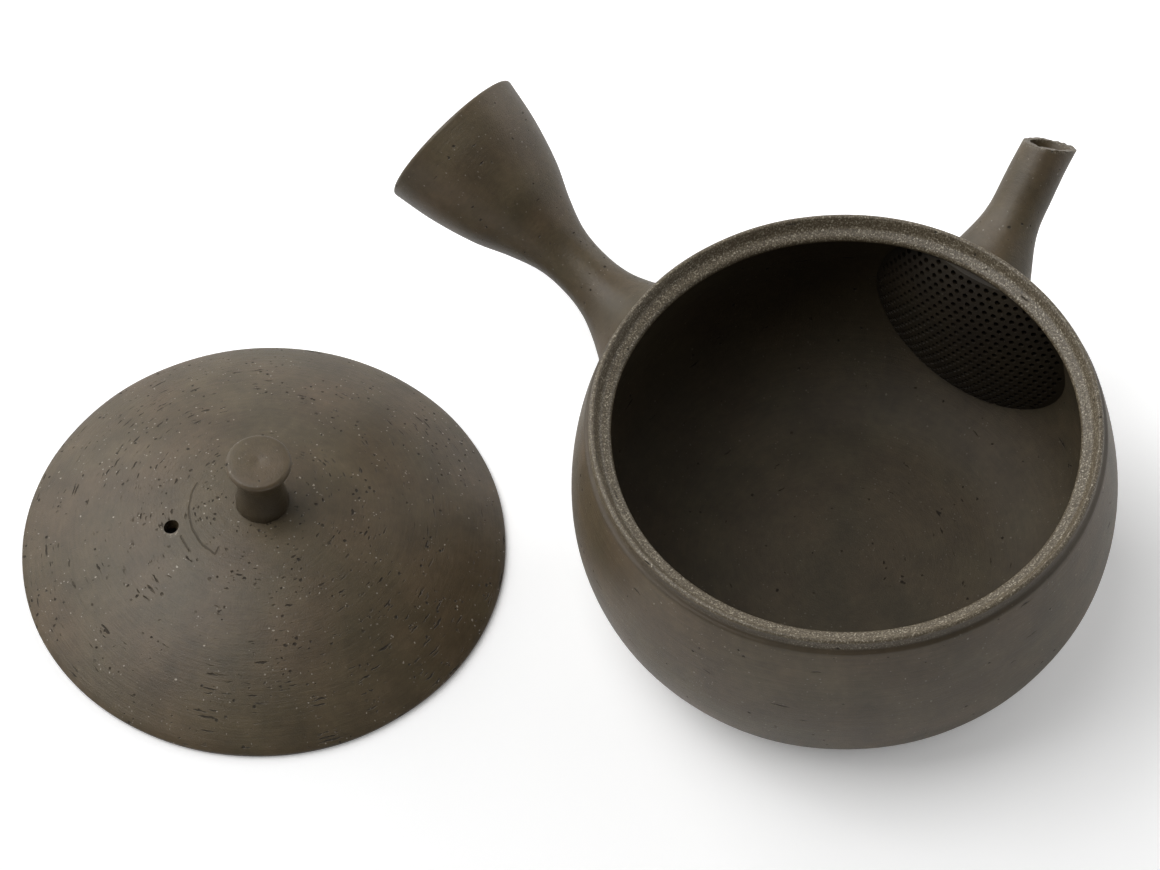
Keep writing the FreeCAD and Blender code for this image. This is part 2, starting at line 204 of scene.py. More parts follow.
def pierce(piece, cutter_mesh):
    """Cut a hole through a piece with another mesh."""
    cutter = bpy.data.objects.new("cutter", cutter_mesh)
    bpy.context.scene.collection.objects.link(cutter)
    cut = piece.modifiers.new("hole", "BOOLEAN")
    cut.operation = "DIFFERENCE"
    cut.solver = "EXACT"
    cut.object = cutter
    bpy.context.view_layer.update()
    graph = bpy.context.evaluated_depsgraph_get()
    pierced = bpy.data.meshes.new_from_object(piece.evaluated_get(graph))
    piece.modifiers.clear()
    piece.data = pierced
    bpy.data.objects.remove(cutter)


def peg(radius, length, place):
    """A round cutter of that radius and length, in millimetres, centred on its place."""
    bm = bmesh.new()
    bmesh.ops.create_cone(bm, cap_ends=True, segments=48, radius1=radius, radius2=radius, depth=length)
    bmesh.ops.transform(bm, matrix=Matrix.Scale(MM, 4) @ place, verts=bm.verts)
    mesh = bpy.data.meshes.new("peg")
    bm.to_mesh(mesh)
    bm.free()
    return mesh


# %% [markdown]
# ## Pot
#
# The pot is one thrown bowl that closes in to a short neck. Inside the rim a ledge carries the lid.
# The outline runs from the middle of the base up the outside, over the rim, down to the ledge and
# back along the inside to the middle of the floor. A round hole behind the strainer leads into the
# spout.

# %% Throw the pot
FOOT = (40.0, 0)
BASE = (41.0, 1.0)
BELLY = (52.7, 27.0)
SHOULDER = (50.1, 47.3)
NECK = [(49.72, 47.55), (49.42, 47.8), (49.24, 48.2), (49.2, 48.8)]
RIM = (49.3, 49.5)
CREST = (48.6, 50.2)
INNER_RIM = [(48.45, 50.18), (48.25, 50.0), (47.6, 48.85), (47.3, 48.4), (47.0, 48.15)]
LEDGE_HEIGHT = 48.0
LEDGE = [(46.6, LEDGE_HEIGHT), (45.85, 47.9), (45.4, 47.68), (45.12, 47.35), (45.0, 46.95)]
LIP_FOOT = (45.0, 46.6)
INNER_SHOULDER = (48.3, 44.0)
INNER_BELLY = (50.1, 27.0)
LOW_WALL = (48.65, 18.16)
FLOOR = (27.8, 3.2)
FLOOR_BEND_HEIGHT = 25.2
WHEEL_STEPS = 192
SPOUT_SEAT = (50.0, 0, 30.1)
SPOUT_RISE = 33.2
PASSAGE_RADIUS = 8.5
PASSAGE_LENGTH = 16


def pot_outside():
    """The outline of the outside, from the middle of the base to the crest of the rim."""
    line = [(0, 0), (13, 0), (26, 0), FOOT, BASE]
    line += arc(BASE, BELLY, BELLY[1], 22)
    line += arc(BELLY, SHOULDER, BELLY[1], 16)
    return line + NECK + [RIM] + arc(RIM, CREST, RIM[1], 6)


def pot_inside():
    """The outline of the inside, from the crest of the rim to the middle of the floor."""
    line = INNER_RIM + LEDGE + [LIP_FOOT, INNER_SHOULDER]
    line += arc(INNER_SHOULDER, INNER_BELLY, BELLY[1], 14)
    line += arc(INNER_BELLY, LOW_WALL, BELLY[1], 8)
    line += arc(LOW_WALL, FLOOR, FLOOR_BEND_HEIGHT, 22)
    return line + [(radius, FLOOR[1]) for radius in (22, 16.5, 11, 5.5, 0)]


def make_pot():
    bm = throw(pot_outside() + pot_inside(), WHEEL_STEPS)
    soften(bm, angle=40, width=0.3)
    leave_hand(bm, amount=0.22, wave=21.0, seed=3.0)
    pot = fire("pot_body_clay", bm, "pot", "pot_body")
    tilt = Matrix.Rotation(math.radians(90 - SPOUT_RISE), 4, "Y")
    pierce(pot, peg(PASSAGE_RADIUS, PASSAGE_LENGTH, Matrix.Translation(SPOUT_SEAT) @ tilt))
    shade(pot, 40)
    return pot


pot = make_pot()

# %% [markdown]
# ## Spout and handle
#
# Both are thrown as tubes and pressed onto the belly while damp, so their roots spread over it. A
# spin makes a stack of plain rings first. Each ring is then moved to its place on the tube's own
# axis, given its radius and its lean, and the lowest rings are drawn down to where the tube meets
# the belly.

# %% The belly's surface, and a tube that stands on it
def belly_radius(height):
    """Radius of the pot's outside at a height."""
    line = pot_outside()[3:]
    for (r1, z1), (r2, z2) in zip(line, line[1:]):
        if z1 <= height <= z2:
            return r1 + (r2 - r1) * (height - z1) / (z2 - z1)
    return line[0][0] if height < line[0][1] else line[-1][0]


def depth_in_pot(point):
    """How far a point lies inside the pot's outside, along the radius."""
    return belly_radius(point.z) - math.hypot(point.x, point.y)


def read(table, place, column):
    """A smooth value between the rows of a table whose first column is the place along the axis."""
    last = len(table) - 1
    row = max([index for index in range(last) if table[index][0] <= place], default=0)
    before, here = table[max(row - 1, 0)], table[row]
    there, after = table[row + 1], table[min(row + 2, last)]
    span = there[0] - here[0]
    way = (place - here[0]) / span
    slope_here = (there[column] - before[column]) / (there[0] - before[0]) * span
    slope_there = (after[column] - here[column]) / (after[0] - here[0]) * span
    gain = there[column] - here[column]
    curve = here[column] + slope_here * way + (3 * gain - 2 * slope_here - slope_there) * way ** 2
    return curve + (slope_here + slope_there - 2 * gain) * way ** 3


class Tube:
    """A tube on the pot: rows of (place, outer radius, inner radius, lean), and its axis."""

    def __init__(self, rows, seat, rise, turn):
        self.rows = rows
        lean_out = Matrix.Rotation(math.radians(90 - rise), 4, "Y")
        turned = Matrix.Rotation(math.radians(turn), 4, "Z")
        self.frame = turned @ Matrix.Translation(seat) @ lean_out

    def point(self, place, angle, column, spread=0.0):
        """A point of the outer (column 1) or inner (column 2) wall, in the pot's frame."""
        radius = read(self.rows, place, column) + spread
        lean = Matrix.Rotation(math.radians(read(self.rows, place, 3)), 4, "Y")
        ring = lean @ Vector((radius * math.cos(angle), radius * math.sin(angle), 0))
        return self.frame @ (ring + Vector((0, 0, place)))

    def foot(self, angle, column, sink):
        """Place along the axis where the wall is sunk that deep in the belly."""
        low, high = self.rows[0][0], self.rows[-1][0] * 0.5
        for _ in range(24):
            middle = (low + high) / 2
            if depth_in_pot(self.point(middle, angle, column)) > sink:
                low = middle
            else:
                high = middle
        return high


def build_tube(tube, rings, steps, settled, fillet, fillet_height):
    """A closed tube wall whose rings run from the belly to its end; fillet widens its root.

    In the spin a radius of 2 stands for the outer wall and 1 for the inner, and height counts rings.
    """
    outer = [(2, ring) for ring in range(rings + 1)]
    inner = [(1, ring) for ring in range(rings, -1, -1)]
    bm = throw(outer + inner, steps, closed=True)
    end = tube.rows[-1][0]
    feet = {}
    for vert in bm.verts:
        column = 1 if math.hypot(vert.co.x, vert.co.y) > 1.5 else 2
        angle = math.atan2(vert.co.y, vert.co.x)
        key = (column, round(angle, 5))
        if key not in feet:
            feet[key] = tube.foot(angle, column, settled)
        foot, ring = feet[key], round(vert.co.z)
        place = foot + (end - foot) * ring / rings
        near = max(0, 1 - (place - foot) / fillet_height)
        vert.co = tube.point(place, angle, column, fillet * near ** 2 if column == 1 else 0)
    face_outwards(bm)
    return bm


# %% [markdown]
# ### Spout
#
# A straight narrow tube rises out of a cone. Its tip is cut slanting with a wire, and the cut is
# dressed with a finger into a thin lip with one pointed corner. The tube is built longer than
# needed, then a plane cuts it and the two open edges are bridged.

# %% Make the spout
SPOUT_ROWS = [
    (-8.0, 14.25, 9.6, 0.0),
    (3.0, 10.24, 7.26, 0.0),
    (10.0, 7.7, 5.77, 0.0),
    (13.7, 6.4, 4.98, 0.0),
    (16.3, 5.72, 4.4, 0.0),
    (19.0, 5.36, 3.95, 0.0),
    (24.0, 5.28, 3.85, 0.0),
    (32.0, 5.16, 3.85, 0.0),
    (41.0, 5.1, 3.85, 0.0),
]
SPOUT_LENGTH = 33.48
MOUTH_RISE = math.radians(46.5)
MOUTH_TURN = math.radians(14.5)
LIP_CORNER = math.radians(-62.0)
LIP_REACH = 7
LIP_POINT = 0.55
LIP_THINNING = 0.2
RAGGED_DEPTH = 0.22
RAGGED_REACH = 1.6
RAGGED_BUMPS = 1.1


def mouth_normal():
    """The way the spout's mouth faces."""
    level = math.cos(MOUTH_RISE)
    return Vector((level * math.cos(MOUTH_TURN), level * math.sin(MOUTH_TURN), math.sin(MOUTH_RISE)))


def cut_tip(bm, tube):
    """Cut the tube with a slanting plane and close the wall at the cut."""
    place = tube.frame @ Vector((0, 0, SPOUT_LENGTH))
    normal = mouth_normal()
    bmesh.ops.bisect_plane(bm, geom=bm.verts[:] + bm.edges[:] + bm.faces[:], plane_co=place,
                           plane_no=normal, clear_outer=True, dist=0.0001)
    rims = [edge for edge in bm.edges if edge.is_boundary]
    bridge = bmesh.ops.bridge_loops(bm, edges=rims)
    face_outwards(bm)
    print("spout lip:", len(bridge["faces"]), "faces bridge the cut")
    return place, normal


def dress_lip(bm, tube, place, normal):
    """Draw one corner of the lip out to a point and leave its edge a little ragged."""
    back = tube.frame.inverted()
    for vert in bm.verts:
        below = (place - vert.co).dot(normal)
        if below > LIP_REACH:
            continue
        near = (1 - max(below, 0) / LIP_REACH) ** 2
        local = back @ vert.co
        angle = math.atan2(local.y, local.x)
        point = max(0, math.cos(angle - LIP_CORNER)) ** 6
        outward = Vector((math.cos(angle), math.sin(angle), 0))
        local += outward * near * (LIP_POINT * point - LIP_THINNING)
        rough = noise.noise(vert.co * RAGGED_BUMPS) * RAGGED_DEPTH
        vert.co = tube.frame @ local + normal * rough * max(0, 1 - max(below, 0) / RAGGED_REACH)


def make_spout():
    tube = Tube(SPOUT_ROWS, SPOUT_SEAT, SPOUT_RISE, 0.0)
    bm = build_tube(tube, rings=44, steps=96, settled=0.7, fillet=1.5, fillet_height=3.5)
    place, normal = cut_tip(bm, tube)
    soften(bm, angle=50, width=0.28)
    dress_lip(bm, tube, place, normal)
    spout = fire("spout_clay", bm, "pot", "spout")
    shade(spout, 50)
    return spout


spout = make_spout()

# %% [markdown]
# ### Handle
#
# The handle is a hollow trumpet. It widens to an open end that lets it cool, narrows to a slender
# neck, and leans into the belly with a broad root. Near the root the rings turn upright, which the
# last column of the table gives in degrees.

# %% Make the handle
HANDLE_SEAT = (52.0, 0, 26.5)
HANDLE_RISE = 16.7
HANDLE_TURN = 77.7
HANDLE_ROWS = [
    (-7.0, 15.5, 13.5, 16.7),
    (-1.44, 12.8, 10.8, 13.4),
    (3.06, 10.6, 8.6, 7.5),
    (7.56, 8.1, 6.1, 2.5),
    (12.4, 6.2, 4.2, 0.0),
    (18.0, 5.45, 3.45, 0.0),
    (24.5, 5.92, 3.92, 0.0),
    (31.0, 8.17, 6.17, 0.0),
    (37.9, 11.3, 9.3, 0.0),
    (47.1, 14.12, 12.12, 0.0),
    (56.3, 15.9, 13.9, 0.0),
]


def make_handle():
    tube = Tube(HANDLE_ROWS, HANDLE_SEAT, HANDLE_RISE, HANDLE_TURN)
    bm = build_tube(tube, rings=64, steps=96, settled=0.7, fillet=1.6, fillet_height=4.0)
    soften(bm, angle=50, width=0.7, segments=4)
    handle = fire("handle_clay", bm, "pot", "handle")
    shade(handle, 50)
    return handle


handle = make_handle()

# %% [markdown]
# ## Lid and knob
#
# The lid is a low dome with a thin bevelled edge that drops onto the pot's ledge. It is spun like
# the pot and pierced beside the knob, so that air comes in as tea goes out. The knob is a button on
# a short waisted stem, thrown by itself and stuck to the middle of the lid.

# %% Throw the lid and its knob
LID_REACH = 113.5
LID_DIRECTION = math.radians(119.5)
LID_PLACE = Vector((LID_REACH * math.cos(LID_DIRECTION), LID_REACH * math.sin(LID_DIRECTION), 0))
LID_FOOT = 47.2
LID_EDGE = 47.64
LID_TOP = 18.0
LID_HOLLOW = 43.5
LID_WALL = 2.8
VENT_RADIUS = 1.5
VENT_REACH = 17.75
VENT_DIRECTION = math.radians(136.1)
VENT_WAY = Vector((math.cos(VENT_DIRECTION), math.sin(VENT_DIRECTION), 0))
KNOB_OFFSET = 0.5
STEM_RADIUS = 5.15
STUCK_HEIGHT = 0.4
STUCK_REACH = 1.8
STUCK_DEPTH = 0.07


def lid_outline():
    """From the middle of the hollow to the foot, round the edge and up to the middle of the top."""
    hollow = dome((LID_HOLLOW, 0.0), LID_TOP - LID_WALL, 24)[::-1]
    foot = [(LID_HOLLOW, 0.12), (LID_HOLLOW + 0.12, 0.0), (LID_FOOT - 0.15, 0.0), (LID_FOOT + 0.1, 0.1)]
    edge = [(LID_EDGE - 0.13, 0.72), (LID_EDGE, 0.92), (LID_EDGE, 1.08), (LID_EDGE - 0.08, 1.24)]
    return hollow + foot + edge + dome((LID_EDGE, 1.15), LID_TOP, 34)


def make_lid():
    bm = throw(lid_outline(), WHEEL_STEPS)
    leave_hand(bm, amount=0.15, wave=18.0, seed=7.0)
    lid = fire("lid_clay", bm, "lid_and_knob", "lid", Matrix.Translation(LID_PLACE))
    pierce(lid, peg(VENT_RADIUS, 60, Matrix.Translation(LID_PLACE + VENT_REACH * VENT_WAY)))
    shade(lid, 50)
    return lid


def knob_outline():
    """From below the lid's skin up the waist, round the button and in to its dimple."""
    waist, under, side, top = (4.4, 7.5), (5.7, 12.1), (6.42, 12.95), (5.7, 13.8)
    line = [(0, -1.0), (STEM_RADIUS, -1.0), (STEM_RADIUS, 0.2), (STEM_RADIUS, 1.2)]
    line += arc(line[-1], waist, waist[1], 8) + arc(waist, under, waist[1], 8)
    line += arc(under, side, side[1], 6) + arc(side, top, side[1], 6)
    return line + [(4.4, 13.82), (2.6, 13.84), (1.3, 13.8), (0.6, 13.6), (0, 13.55)]


def make_knob():
    bm = throw(knob_outline(), 96)
    for vert in bm.verts:
        rough = max(0, 1 - abs(vert.co.z - STUCK_HEIGHT) / STUCK_REACH)
        outward = Vector((vert.co.x, vert.co.y, 0))
        vert.co += outward * noise.noise(vert.co * 0.9) * STUCK_DEPTH * rough
    place = Matrix.Translation(LID_PLACE - KNOB_OFFSET * VENT_WAY + Vector((0, 0, LID_TOP)))
    knob = fire("lid_knob_clay", bm, "lid_and_knob", "lid_knob", place)
    shade(knob, 60)
    return knob


lid = make_lid()
knob = make_knob()

# %% [markdown]
# ## Clay
#
# The clay is a fine stoneware, rich in iron, burned dark brown-grey and left bare. It is dull, with
# a soft sheen where light grazes it. Close up it is not plain: cloudy tone from the kiln, pale
# grains of feldspar, pits, and short dark drag marks that run round the wheel's axis where grains
# were pulled along under the trimming tool. Each of these is one small group of nodes in the same
# material. The Mapping node stands the pattern on the piece's own axis and turns metres into
# millimetres.

# %% Colours and nodes
def colour(code):
    """A hex colour as written in a paint program, made linear for the shader."""
    parts = [int(code[start:start + 2], 16) / 255 for start in (1, 3, 5)]
    linear = [part / 12.92 if part <= 0.04045 else ((part + 0.055) / 1.055) ** 2.4 for part in parts]
    return (*linear, 1.0)


def place_stops(elements, stops):
    """Give a colour ramp its (position, hex or grey) stops."""
    while len(elements) < len(stops):
        elements.new(0.5)
    for element, (position, tone) in zip(elements, stops):
        element.position = position
        element.color = colour(tone) if isinstance(tone, str) else (tone, tone, tone, 1)


def add(tree, kind, settings=None, inputs=None):
    """Add a node and give its first live output.

    Settings are its properties, and "stops" those of a colour ramp. An input is a number, a vector, a
    hex colour or another node's output.
    """
    made = tree.nodes.new("ShaderNode" + kind)
    for name, value in (settings or {}).items():
        if name == "stops":
            place_stops(made.color_ramp.elements, value)
        else:
            setattr(made, name, value)
    for name, value in (inputs or {}).items():
        if isinstance(value, bpy.types.NodeSocket):
            tree.links.new(value, made.inputs[name])
        else:
            made.inputs[name].default_value = colour(value) if isinstance(value, str) else value
    return next((output for output in made.outputs if output.enabled), None)


def start_material(name):
    material = bpy.data.materials.new(name)
    material.use_nodes = True
    material.node_tree.nodes.clear()
    return material, material.node_tree


# %% [markdown]
# The wheel's marks need a place measured round the axis. The shader turns x and y into a radius and
# a direction. Two numbers carry the direction, so that the pattern has no seam where the circle
# closes. Together with the height they are a 3-D place, and the radius is the fourth number of a
# 4-D texture.

# %% A place on the wheel
TYPICAL_RADIUS_MM = 32.0


def flatten(tree, place):
    """The place without its height."""
    split = add(tree, "SeparateXYZ", inputs={"Vector": place}).node.outputs
    return add(tree, "CombineXYZ", inputs={"X": split["X"], "Y": split["Y"]})


def height_of(tree, place):
    """The height of a place above the piece's foot."""
    return add(tree, "SeparateXYZ", inputs={"Vector": place}).node.outputs["Z"]


def wheel_place(tree, place, length, width):
    """A 3-D place and a fourth number, long round the axis and narrow across it."""
    flat = flatten(tree, place)
    radius = add(tree, "VectorMath", {"operation": "LENGTH"}, {0: flat})
    around = add(tree, "VectorMath", {"operation": "NORMALIZE"}, {0: flat})
    spread = add(tree, "VectorMath", {"operation": "SCALE"},
                 {0: around, "Scale": TYPICAL_RADIUS_MM / length})
    height = add(tree, "Math", {"operation": "DIVIDE"}, {0: height_of(tree, place), 1: width})
    lift = add(tree, "CombineXYZ", inputs={"Z": height})
    whole = add(tree, "VectorMath", {"operation": "ADD"}, {0: spread, 1: lift})
    return whole, add(tree, "Math", {"operation": "DIVIDE"}, {0: radius, 1: width})


def crooked(tree, place, wave, amount):
    """Shift the place a little by noise, so that no mark is a clean disc or a straight line."""
    shift = add(tree, "TexNoise", {"noise_dimensions": "3D"},
                {"Vector": place, "Scale": 1 / wave, "Detail": 2.0}).node.outputs["Color"]
    centred = add(tree, "VectorMath", {"operation": "SUBTRACT"}, {0: shift, 1: (0.5, 0.5, 0.5)})
    small = add(tree, "VectorMath", {"operation": "SCALE"}, {0: centred, "Scale": amount})
    return add(tree, "VectorMath", {"operation": "ADD"}, {0: place, 1: small})


# %% [markdown]
# Pits, grains and drag marks are all scattered dots. A Voronoi texture gives every cell of a
# scatter a distance to its centre and a random colour, which picks the cells that hold a dot and
# sizes each dot.

# %% Dots, pits and drag marks
DOT_EDGE = 0.4
PIT_MM = 1.1
PIT_REACH = 0.38
DRAG_LENGTH_MM = 3.0
DRAG_WIDTH_MM = 0.46
DRAG_REACH = 0.6


def rise(tree, value, start, end):
    """0 before start and 1 after end, with a soft change between them."""
    return add(tree, "MapRange", {"interpolation_type": "SMOOTHSTEP"},
               {"Value": value, "From Min": start, "From Max": end})


def dots(tree, cells, reach, chosen):
    """1 inside the dots of the chosen share of cells, 0 outside; no two dots are equally large."""
    lot = add(tree, "SeparateColor", inputs={"Color": cells["Color"]})
    size = add(tree, "MapRange", inputs={"Value": lot, "From Min": 1 - chosen, "To Max": reach})
    near = add(tree, "Math", {"operation": "SUBTRACT"}, {0: size, 1: cells["Distance"]})
    return rise(tree, near, 0.0, reach * DOT_EDGE)


def scatter(tree, place, size, reach, chosen):
    """Dots about that many millimetres apart."""
    cells = add(tree, "TexVoronoi", {"voronoi_dimensions": "3D"}, {"Vector": place, "Scale": 1 / size})
    return dots(tree, cells.node.outputs, reach, chosen)


def drag_marks(tree, place, chosen):
    """Short dark lines that run round the axis."""
    vector, fourth = wheel_place(tree, place, DRAG_LENGTH_MM, DRAG_WIDTH_MM)
    cells = add(tree, "TexVoronoi", {"voronoi_dimensions": "4D"},
                {"Vector": vector, "W": fourth, "Scale": 1.0})
    return dots(tree, cells.node.outputs, DRAG_REACH, chosen)


def find_marks(tree, place, cluster, drag):
    """Pits and drag marks, all of them in clusters."""
    pits = scatter(tree, crooked(tree, place, wave=0.8, amount=0.6), PIT_MM, PIT_REACH, drag)
    drags = drag_marks(tree, crooked(tree, place, wave=1.6, amount=0.8), drag)
    marks = add(tree, "Math", {"operation": "MAXIMUM"}, {0: pits, 1: drags})
    return add(tree, "Math", {"operation": "MULTIPLY"}, {0: marks, 1: cluster})


# %% [markdown]
# The tone of the body has four parts: clouds from the kiln, a slow drift between a greener and a
# redder brown, a fine mottle, and streaks from the sponge and the rib, which run round the axis.
# The drift, the mottle and the streaks are multiplied onto the clouds, each by a share of its own.

# %% The clay's tone
CLOUD_MM = 9.0
TINT_MM = 14.0
MOTTLE_MM = 1.6
SMEAR_LENGTH_MM = 5.0
SMEAR_WIDTH_MM = 0.5
TINTS = [(0.38, "#fcfff9"), (0.62, "#fff3ee")]
TINT_SHARE = 0.5
MOTTLES = [(0.3, 0.78), (0.7, 1.0)]
MOTTLE_SHARE = 0.8
STREAKS = [(0.3, 0.72), (0.7, 1.0)]
STREAK_SHARE = 0.55


def smears(tree, place):
    """Fine streaks that the sponge and the rib leave round the axis."""
    vector, fourth = wheel_place(tree, place, SMEAR_LENGTH_MM, SMEAR_WIDTH_MM)
    return add(tree, "TexNoise", {"noise_dimensions": "4D"},
               {"Vector": vector, "W": fourth, "Scale": 1.0, "Detail": 2.0, "Roughness": 0.6})


def clay_tone(tree, place, dark, light, smeared):
    """The body colour: cloudy from the kiln, here greener and there redder, lightly streaked."""
    clouds = add(tree, "TexNoise", {}, {"Vector": place, "Scale": 1 / CLOUD_MM, "Detail": 3.0})
    tone = add(tree, "ValToRGB", {"stops": [(0.28, dark), (0.74, light)]}, {"Fac": clouds})
    drift = add(tree, "TexNoise", {}, {"Vector": place, "Scale": 1 / TINT_MM, "Detail": 2.0})
    tint = add(tree, "ValToRGB", {"stops": TINTS}, {"Fac": drift})
    mottle = add(tree, "TexNoise", {}, {"Vector": place, "Scale": 1 / MOTTLE_MM, "Detail": 3.0})
    patches = add(tree, "ValToRGB", {"stops": MOTTLES}, {"Fac": mottle})
    streaks = add(tree, "ValToRGB", {"stops": STREAKS}, {"Fac": smeared})
    for share, layer in ((TINT_SHARE, tint), (MOTTLE_SHARE, patches), (STREAK_SHARE, streaks)):
        tone = add(tree, "Mix", {"data_type": "RGBA", "blend_type": "MULTIPLY"},
                   {0: share, 6: tone, 7: layer})
    return tone


# %% [markdown]
# Pale grains of feldspar lie in the clay. They are few and small where a wet hand has pressed them
# under, and thick on the edges that the lid and the trimming tool have scraped.

# %% Grains in the clay
GRAIN_MM = 0.5
GRAIN_REACH = 0.45
GRAIN_SHARE = 0.5
GRAIN_TONE = "#a0978a"
FLECK_MM = 1.5
FLECK_REACH = 0.2
FLECK_SHARE = 0.55
FLECK_TONE = "#aaa090"
GRIT_MM = 0.36
GRIT_STOPS = [(0.32, "#423828"), (0.5, "#5e5443"), (0.6, "#7f7562"), (0.74, "#cfc7b4")]
# Painted shade: this tone darkens the pot's outer neck and the knob's stem.
PAINTED_SHADE_TONE = "#342b1e"
PAINTED_SHADE_SHARE = 0.5


def sprinkle(tree, place, tone, cluster, grains):
    """Lay pale grains over a tone: fine ones in clusters, coarse ones here and there."""
    bent = crooked(tree, place, wave=0.4, amount=0.35)
    fine = scatter(tree, bent, GRAIN_MM, GRAIN_REACH, chosen=0.16)
    share = add(tree, "Math", {"operation": "MULTIPLY"}, {0: cluster, 1: grains * GRAIN_SHARE})
    fine = add(tree, "Math", {"operation": "MULTIPLY"}, {0: fine, 1: share})
    bent = crooked(tree, place, wave=0.5, amount=0.5)
    coarse = scatter(tree, bent, FLECK_MM, FLECK_REACH, chosen=0.14)
    coarse = add(tree, "Math", {"operation": "MULTIPLY"}, {0: coarse, 1: grains * FLECK_SHARE})
    for dust, pale in ((fine, GRAIN_TONE), (coarse, FLECK_TONE)):
        tone = add(tree, "Mix", {"data_type": "RGBA"}, {0: dust, 6: tone, 7: pale})
    return tone


def scrape_and_shade(tree, place, tone, worn, shaded):
    """Bare sandy grit where the surface is worn, and painted shade: a darker tone where shade falls."""
    grit = add(tree, "TexNoise", {},
               {"Vector": place, "Scale": 1 / GRIT_MM, "Detail": 2.0, "Roughness": 0.7})
    sand = add(tree, "ValToRGB", {"stops": GRIT_STOPS}, {"Fac": grit})
    tone = add(tree, "Mix", {"data_type": "RGBA"}, {0: worn, 6: tone, 7: sand})
    shade = add(tree, "Math", {"operation": "MULTIPLY"}, {0: shaded, 1: PAINTED_SHADE_SHARE})
    return add(tree, "Mix", {"data_type": "RGBA"}, {0: shade, 6: tone, 7: PAINTED_SHADE_TONE})


# %% [markdown]
# The finished clay puts the patterns together. Tone goes to the colour, and tooth, streaks, rings
# and marks go to a bump, so that each mark is seen both as a stain and as a dent. A roughness of
# 0.43 suits unglazed stoneware that was smoothed a little by hand, and the marks in it are duller.
# The inside, whose clay is painted darker as shade, is duller too.

# %% Mix the clay
CLAY_DARK = "#524733"
CLAY_LIGHT = "#685a44"
CLUSTER_MM = 8.0
CLUSTER_START = 0.4
CLUSTER_END = 0.52
TOOTH_MM = 0.3
RING_MM = 1.1
RING_LENGTH_MM = 60.0
TOOTH_DEPTH = 0.06
STREAK_DEPTH = 0.05
RING_DEPTH = 0.1
MARK_DEPTH = 0.15
MARK_TONE = "#1c1712"
MARK_SHARE = 0.75
MARK_DULLNESS = 0.4
GLOSS_SPREAD = 0.08


def surface_height(tree, place, tooth, smeared, marks, rings):
    """Height of the surface in millimetres: tooth, streaks and rings of the wheel, less the marks."""
    vector, fourth = wheel_place(tree, place, RING_LENGTH_MM, RING_MM)
    turned = add(tree, "TexNoise", {"noise_dimensions": "4D"},
                 {"Vector": vector, "W": fourth, "Scale": 1.0, "Detail": 1.0})
    height = 0.0
    for layer, depth in ((tooth, TOOTH_DEPTH), (smeared, STREAK_DEPTH), (turned, rings * RING_DEPTH),
                         (marks, -MARK_DEPTH)):
        height = add(tree, "Math", {"operation": "MULTIPLY_ADD"}, {0: layer, 1: depth, 2: height})
    return height


def mix_clay(name, centre, tilt, dark=CLAY_DARK, light=CLAY_LIGHT, *, drag, grains=1.0, rings=0.35,
             gloss=0.43, incised=None, wear_and_shade=None):
    """Bare stoneware whose marks run round the axis that stands at centre with that tilt.

    Drag is the share of dragged grains, and grains and rings say how strong pale grains and the wheel's
    rings are. Gloss is the roughness. Incised finds marks, and wear finds worn places and painted
    shade.
    """
    material, tree = start_material(name)
    spot = add(tree, "TexCoord").node.outputs["Object"]
    place = add(tree, "Mapping", {"vector_type": "TEXTURE"},
                {"Vector": spot, "Location": centre, "Rotation": tilt, "Scale": (MM, MM, MM)})
    crowd = add(tree, "TexNoise", {}, {"Vector": place, "Scale": 1 / CLUSTER_MM, "Detail": 2.0})
    cluster = add(tree, "MapRange",
                  inputs={"Value": crowd, "From Min": CLUSTER_START, "From Max": CLUSTER_END})
    smeared = smears(tree, place)
    tone = clay_tone(tree, place, dark, light, smeared)
    tone = sprinkle(tree, place, tone, cluster, grains)
    # The wear function gives worn places and also places of painted shade, which are darkened here.
    if wear_and_shade:
        tone = scrape_and_shade(tree, place, tone, *wear_and_shade(tree, place))
    marks = find_marks(tree, place, cluster, drag)
    if incised:
        marks = add(tree, "Math", {"operation": "MAXIMUM"}, {0: marks, 1: incised(tree, place)})
    stain = add(tree, "Math", {"operation": "MULTIPLY"}, {0: marks, 1: MARK_SHARE})
    tone = add(tree, "Mix", {"data_type": "RGBA"}, {0: stain, 6: tone, 7: MARK_TONE})
    tooth = add(tree, "TexNoise", {},
                {"Vector": place, "Scale": 1 / TOOTH_MM, "Detail": 3.0, "Roughness": 0.65})
    height = surface_height(tree, place, tooth, smeared, marks, rings)
    bump = add(tree, "Bump", {}, {"Height": height, "Strength": 1.0, "Distance": MM})
    dull = add(tree, "MapRange",
               inputs={"Value": tooth, "To Min": gloss - GLOSS_SPREAD, "To Max": gloss + GLOSS_SPREAD})
    roughness = add(tree, "Math", {"operation": "MULTIPLY_ADD", "use_clamp": True},
                    {0: marks, 1: MARK_DULLNESS, 2: dull})
    shader = add(tree, "BsdfPrincipled", {},
                 {"Base Color": tone, "Roughness": roughness, "Normal": bump, "IOR": 1.5})
    add(tree, "OutputMaterial", inputs={"Surface": shader})
    return material
